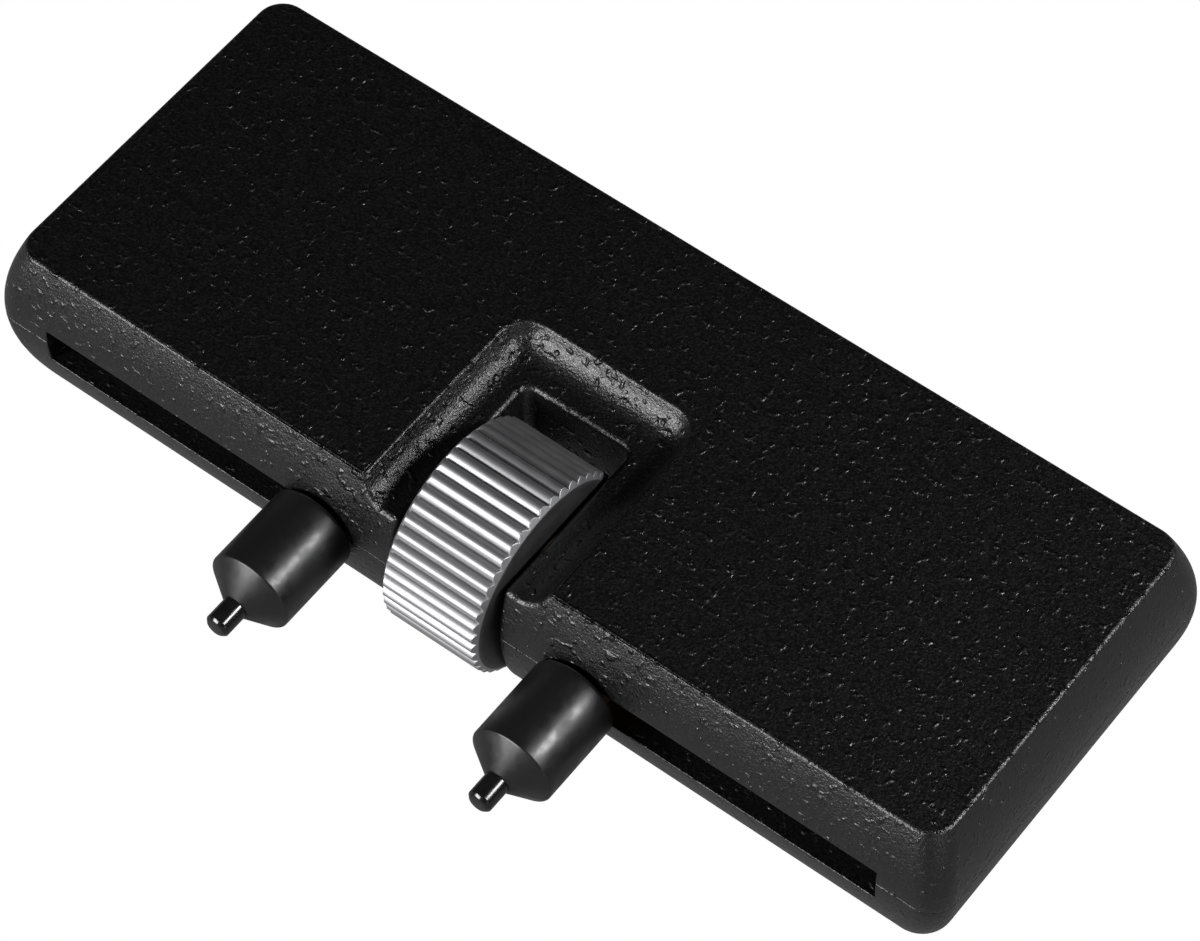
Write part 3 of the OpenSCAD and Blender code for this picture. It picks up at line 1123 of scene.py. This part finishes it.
@dataclass
class Drive:
    """The thumbwheel on its threaded spindle."""

    wheel_material: bpy.types.Material
    spindle_material: bpy.types.Material
    screw_material: bpy.types.Material
    ridges: int = 44
    ridge_depth: float = 0.32
    fullness: float = 0.9
    steps_per_ridge: int = 14
    chamfer: float = 0.45
    chamfer_width: float = 0.3
    chamfer_steps: int = 10
    chamfer_lip: float = 0.03
    rim_loop: float = 0.25
    face_loops: Point = (0.3, 0.05)
    hub_loop: float = 1.5
    bore_edge: float = 0.15
    grub_radius: float = 1.0
    spindle_radius: float = 2.0
    journal_radius: float = 1.5
    journal_gap: float = 0.1
    end_edge: float = 0.2
    pitch: float = 0.8
    thread_depth: float = 0.4
    thread_start: float = 7.8
    thread_end: float = 33.0
    run_out: float = 0.4
    rings_per_turn: int = 8

    def __post_init__(self) -> None:
        """Take the places from the frame."""
        low, high = box_mm("thumbwheel")
        self.centre = (0, *centre_of("thumbwheel")[1:])
        self.radius, self.half_width = (high.z - low.z) / 2, high.x
        self.half_spindle = box_mm("lead_screw")[1].x

    def wheel_profile(self) -> list[Point]:
        """Draw the wheel's section: bore, flat faces, chamfers and rim."""
        r, w, bore = self.radius, self.half_width, self.spindle_radius
        inner = r - self.chamfer
        half = [(bore, 0), (bore, w - self.bore_edge), (bore + self.bore_edge, w), (bore + self.hub_loop, w)]
        half += [(inner - loop, w) for loop in self.face_loops]
        for k in range(self.chamfer_steps):
            share = k / self.chamfer_steps
            fall = self.chamfer_lip + (self.chamfer_width - self.chamfer_lip) * share
            half.append((inner + self.chamfer * share, w - fall))
        half += [(r, w - self.chamfer_width), (r, w - self.chamfer_width - self.rim_loop), (r, w / 2), (r, 0)]
        return half + [(a, -b) for a, b in half[-2:0:-1]]

    def build_wheel(self) -> None:
        """Turn the wheel, knurl it and drill it for its grub screw."""
        wheel = turned("knurled_wheel", self.wheel_profile(), Turning.X, self.centre,
                       self.ridges * self.steps_per_ridge, tube=True)
        _, y, z = self.centre
        knurl_tree().apply(wheel, Axis_Y=y, Axis_Z=z, Rim_radius=self.radius, Ridges=float(self.ridges),
                           Depth=self.ridge_depth, Fullness=self.fullness, Material=self.wheel_material)
        cut(wheel, rod("grub_hole", Turning.Y, (0, y + 1, z), self.radius + 2, self.grub_radius))
        smooth(wheel, 40)
        hand_over(wheel, self.wheel_material, "drive", "wheel", "thumbwheel")

    def spindle_profile(self) -> list[Point]:
        """Draw the spindle's section, with rings close enough to carry the thread."""
        start, length = self.thread_start, self.thread_end - self.thread_start
        rings = round(length / self.pitch * self.rings_per_turn)
        r, j, end, edge = self.spindle_radius, self.journal_radius, self.half_spindle, self.end_edge
        half = [(r, start + length * i / rings) for i in range(rings + 1)]
        half += [(j, self.thread_end + self.journal_gap), (j, end - edge), (j - edge, end), (0, end)]
        return [(a, -x) for a, x in reversed(half)] + half

    def build_spindle(self) -> None:
        """Turn the spindle and cut its two opposite threads."""
        spindle = turned("threaded_spindle", self.spindle_profile(), Turning.X, self.centre, 48)
        _, y, z = self.centre
        thread_tree().apply(spindle, Axis_Y=y, Axis_Z=z, Pitch=self.pitch, Depth=self.thread_depth,
                            Crest_radius=self.spindle_radius, Start=self.thread_start, End=self.thread_end,
                            Run_out=self.run_out, Material=self.spindle_material)
        smooth(spindle, 35)
        hand_over(spindle, self.spindle_material, "drive", "spindle_steel", "lead_screw")

    def build(self) -> None:
        """Build everything that turns, apart from its washers."""
        self.build_wheel()
        self.build_spindle()
        refine("wheel_grub_screw", "grub_screw", 0.06, self.screw_material, "drive", "screw_steel")


# ---- claws -----------------------------------------------------------------


@dataclass
class Claw:
    """One claw: its barrel with a cone, the pin pressed into it, its stud and carriage."""

    side: Side
    barrel_material: bpy.types.Material
    pin_material: bpy.types.Material
    stud_material: bpy.types.Material
    carriage_material: bpy.types.Material
    cone: float = 1.4
    nose_radius: float = 0.95
    pin_radius: float = 0.85
    shank_radius: float = 0.6
    seat: float = 3.1
    stud_radius: float = 1.05
    edge: float = 0.1
    root_edge: float = 0.35
    nose_edge: float = 0.06
    pin_edge: float = 0.05
    bevel: float = 0.22
    barrel_loops: Point = (0.3, 0.6)

    def __post_init__(self) -> None:
        """Take the places from the frame."""
        low, high = box_mm(f"claw_{self.side.word}")
        x, _, z = centre_of(f"claw_{self.side.word}")
        self.centre = (x, 0, z)
        self.radius = (high.x - low.x) / 2
        self.root, self.nose = high.y, low.y
        self.tip = box_mm(f"claw_tip_{self.side.word}")[0].y
        self.body = f"claw_slide_{self.side.word}"

    def rounded(self, corner: Point, before: Point, after: Point, size: float, steps: int = 4) -> list[Point]:
        """Replace a corner of a profile by a small curve.

        Args:
            corner: The corner.
            before: The profile's point before it.
            after: The point after it.
            size: How far from the corner the curve starts and ends.
            steps: Steps along the curve.

        Returns:
            The curve's points.
        """
        c = Vector(corner)
        start = c + (Vector(before) - c).normalized() * size
        end = c + (Vector(after) - c).normalized() * size
        points = []
        for step in range(steps + 1):
            t = step / steps
            p = start * (1 - t) ** 2 + c * 2 * t * (1 - t) + end * t ** 2
            points.append((p.x, p.y))
        return points

    def build_barrel(self) -> None:
        """Turn the barrel: a cylinder with eased edges, a cone and two blind bores."""
        r, face, shoulder = self.radius, self.root, self.nose + self.cone
        root_edge, front_edge, nose = (r, face), (r, shoulder), (self.nose_radius, self.nose)
        seat = face - self.seat
        profile = [(0, seat), (self.stud_radius, seat), (self.stud_radius, face)]
        profile += self.rounded(root_edge, (self.stud_radius, face), front_edge, self.root_edge)
        profile += [(r, face + (shoulder - face) * k) for k in self.barrel_loops]
        profile += self.rounded(front_edge, root_edge, nose, self.edge)
        profile += self.rounded(nose, front_edge, (self.shank_radius, self.nose), self.nose_edge, 2)
        profile += [(self.shank_radius, self.nose), (self.shank_radius, self.nose + self.seat),
                    (0, self.nose + self.seat)]
        barrel = turned(f"claw_barrel_{self.side.word}", profile, Turning.Y, self.centre, 128)
        smooth(barrel, 30)
        hand_over(barrel, self.barrel_material, self.body, "claw_steel", f"claw_{self.side.word}")

    def build_pin(self) -> None:
        """Turn the pin: a shank inside the claw, a shoulder and a bevelled working end."""
        r, b = self.pin_radius, self.bevel
        shoulder, end = (r, self.tip + b), (r - b, self.tip)
        profile = [(0, self.nose + self.seat), (self.shank_radius, self.nose + self.seat),
                   (self.shank_radius, self.nose), (r, self.nose)]
        profile += self.rounded(shoulder, (r, self.nose), end, self.pin_edge, 2)
        profile += self.rounded(end, shoulder, (0, self.tip), self.pin_edge, 2)
        profile += [(0, self.tip)]
        pin = turned(f"claw_pin_{self.side.word}", profile, Turning.Y, self.centre, 64)
        smooth(pin, 35)
        hand_over(pin, self.pin_material, self.body, "tip_steel", f"claw_tip_{self.side.word}")

    def build_mounting(self) -> None:
        """Refine the stud and the carriage that hold the claw."""
        word = self.side.word
        for node, name, width, material, slot in (
                ("claw_stud", "stud", 0.08, self.stud_material, "screw_steel"),
                ("carriage", "nut_carriage", 0.18, self.carriage_material, "brass")):
            refine(f"{node}_{word}", f"{name}_{word}", width, material, self.body, slot)

    def build(self) -> None:
        """Build the whole claw."""
        self.build_barrel()
        self.build_pin()
        self.build_mounting()


@dataclass
class Bearings:
    """The bushes, bearings and thrust washers that carry the spindle."""

    material: bpy.types.Material
    edge: float = 0.08

    def build(self) -> None:
        """Refine each bearing piece on its own body."""
        for node, body in (("thrust_washer", "drive"), ("spindle_bearing", "housing"),
                           ("end_bush", "housing")):
            for side in Side:
                name = f"{node}_{side.word}"
                refine(name, f"{name}_turned", self.edge, self.material, body, "bronze")


# ---- studio ----------------------------------------------------------------


def aimed(name: str, data: bpy.types.ID, azimuth: float, elevation: float, away: float,
          target: Vector) -> bpy.types.Object:
    """Stand a light or a camera away from a point, facing it.

    Args:
        name: Name of the object.
        data: The light or the camera.
        azimuth: Degrees round the point, from 0 in front of the claws towards +X.
        elevation: Degrees above it.
        away: Metres away from it.
        target: The point.

    Returns:
        The object.
    """
    a, e = math.radians(azimuth), math.radians(elevation)
    outwards = Vector((math.sin(a) * math.cos(e), -math.cos(a) * math.cos(e), math.sin(e)))
    item = linked(name, data)
    item.location = target + outwards * away
    item.rotation_mode = "QUATERNION"
    item.rotation_quaternion = (-outwards).to_track_quat("-Z", "Y")
    return item


@dataclass(frozen=True)
class Softbox:
    """One rectangular soft light that faces the object."""

    name: str
    azimuth: float
    elevation: float
    distance: float
    size: Point
    radiance: float

    def build(self, target: Vector) -> None:
        """Set the light round a point of the object."""
        light = bpy.data.lights.new(self.name, "AREA")
        light.shape = "RECTANGLE"
        light.size, light.size_y = self.size
        light.energy = self.radiance * math.pi * self.size[0] * self.size[1]
        aimed(self.name, light, self.azimuth, self.elevation, self.distance, target)


@dataclass
class Studio:
    """A plain white table in dim surroundings, with soft lights round it."""

    floor_size: float = 6.0
    floor_drop_mm: float = 0.01
    floor_glow: float = 0.27
    ambient: float = 0.012
    lights: tuple[Softbox, ...] = (
        Softbox("right_light", 110, 39, 0.30, (0.085, 0.07), 38.0),
        Softbox("side_light", 64, 8, 0.70, (0.30, 0.12), 3.0),
        Softbox("front_light", -22, 20, 0.60, (0.34, 0.18), 24.0),
    )

    def paper(self, name: str, glow: float) -> bpy.types.ID:
        """Make a shader tree that is white to the eye and lights the object more softly.

        The floor can be seen through from below, so that the underside shows.

        Args:
            name: "floor" for a material or "world" for the surroundings.
            glow: Its brightness as a light.

        Returns:
            The world or the material.
        """
        if name == "world":
            owner = bpy.data.worlds.new(name)
            bpy.context.scene.world = owner
        else:
            owner = bpy.data.materials.new(name)
        owner.use_nodes = True
        wire = Wiring(owner.node_tree)
        wire.tree.nodes.clear()
        kind = "ShaderNodeBackground" if name == "world" else "ShaderNodeEmission"
        seen, cast = wire.add(kind), wire.add(kind)
        seen.inputs["Strength"].default_value = 1.0
        cast.inputs["Strength"].default_value = glow
        for node in (seen, cast):
            node.inputs["Color"].default_value = (1, 1, 1, 1)
        mix = wire.add("ShaderNodeMixShader")
        wire.feed(mix.inputs[0], wire.add("ShaderNodeLightPath").outputs["Is Camera Ray"])
        wire.feed(mix.inputs[1], cast.outputs[0])
        wire.feed(mix.inputs[2], seen.outputs[0])
        shown = mix
        if name == "floor":
            shown = wire.add("ShaderNodeMixShader")
            wire.feed(shown.inputs[0], wire.add("ShaderNodeNewGeometry").outputs["Backfacing"])
            wire.feed(shown.inputs[1], mix.outputs[0])
            wire.feed(shown.inputs[2], wire.add("ShaderNodeBsdfTransparent").outputs[0])
        out = wire.add("ShaderNodeOutputWorld" if name == "world" else "ShaderNodeOutputMaterial")
        wire.feed(out.inputs[0], shown.outputs[0])
        return owner

    def build(self) -> None:
        """Lay the floor, light the object and choose how brightness is shown."""
        low, high = CAD_BOX
        reach = self.floor_size / MM / 2
        level = low.z / MM - self.floor_drop_mm
        corners = [(x * reach, y * reach, level) for x, y in ((-1, -1), (1, -1), (1, 1), (-1, 1))]
        floor = new_object("floor", corners, [(0, 1, 2, 3)])
        dress(floor, self.paper("floor", self.floor_glow))
        self.paper("world", self.ambient)
        for light in self.lights:
            light.build((low + high) / 2)
        bpy.context.scene.view_settings.view_transform = "Standard"


@dataclass
class Camera:
    """A long lens above the front right corner."""

    azimuth: float = 37.343
    elevation: float = 56.32
    distance: float = 0.288785
    lens: float = 137.07
    shift: Point = (0.01024, 0.02609)

    def build(self) -> None:
        """Set the camera, aimed at the frame's origin, and make it the scene's."""
        data = bpy.data.cameras.new("camera")
        data.sensor_width = 36.0
        data.lens = self.lens
        data.shift_x, data.shift_y = self.shift
        data.clip_start = 0.01
        bpy.context.scene.camera = aimed("camera", data, self.azimuth, self.elevation, self.distance,
                                         Vector((0, 0, 0)))


def main() -> None:
    """Build the object, its finishes and the studio, in order."""
    logging.basicConfig(level=logging.INFO, format="%(name)s: %(message)s")
    Camera().build()
    Studio().build()

    wheel_high = box_mm("thumbwheel")[1]
    spindle_at = (0.0, *centre_of("thumbwheel")[1:])
    claw_x, _, claw_z = centre_of("claw_right")
    claw_at = {"centre_mm": (claw_x, 0.0, claw_z), "axis": (0, 1, 0)}
    black = (0.008, 0.008, 0.0085)

    plastic = MouldedPlastic("black_moulding", (0.0018, 0.0018, 0.002), 0.38, specular=0.65,
                             bump_mm=0.085).material()
    oxide = MilledMetal("black_oxide", (0.03, 0.03, 0.032), 0.38, metallic=0.6, bump_mm=0.003).material()
    bronze = MilledMetal("sintered_bronze", (0.30, 0.20, 0.11), 0.45, metallic=1.0, pore_mm=0.12,
                         bump_mm=0.006).material()
    brass = MilledMetal("milled_brass", (0.68, 0.50, 0.22), 0.33, metallic=1.0, bump_mm=0.004).material()
    # The knurled wheel's finish paints shade into its groove bottoms.
    aluminium = TurnedMetal("knurled_aluminium", (0.43, 0.43, 0.443), 0.54, 0.03, metallic=1.0, bump_mm=0.004,
                            centre_mm=spindle_at, groove_below_mm=wheel_high.z - spindle_at[2] - 0.15,
                            face_from_mm=wheel_high.x).material()
    spindle = TurnedMetal("spindle_steel", (0.46, 0.46, 0.48), 0.3, metallic=1.0, bump_mm=0.003,
                          centre_mm=spindle_at).material()
    claw = TurnedMetal("blackened_claw", black, 0.38, ring_mm=0.06, bump_mm=0.002, **claw_at).material()
    pin = TurnedMetal("blackened_pin", black, 0.2, 0.04, ring_mm=0.05, bump_mm=0.001, **claw_at).material()

    Housing(plastic, oxide).build()
    Drive(aluminium, spindle, oxide).build()
    for side in Side:
        Claw(side, claw, pin, oxide, brass).build()
    Bearings(bronze).build()


if __name__ == "__main__":
    main()
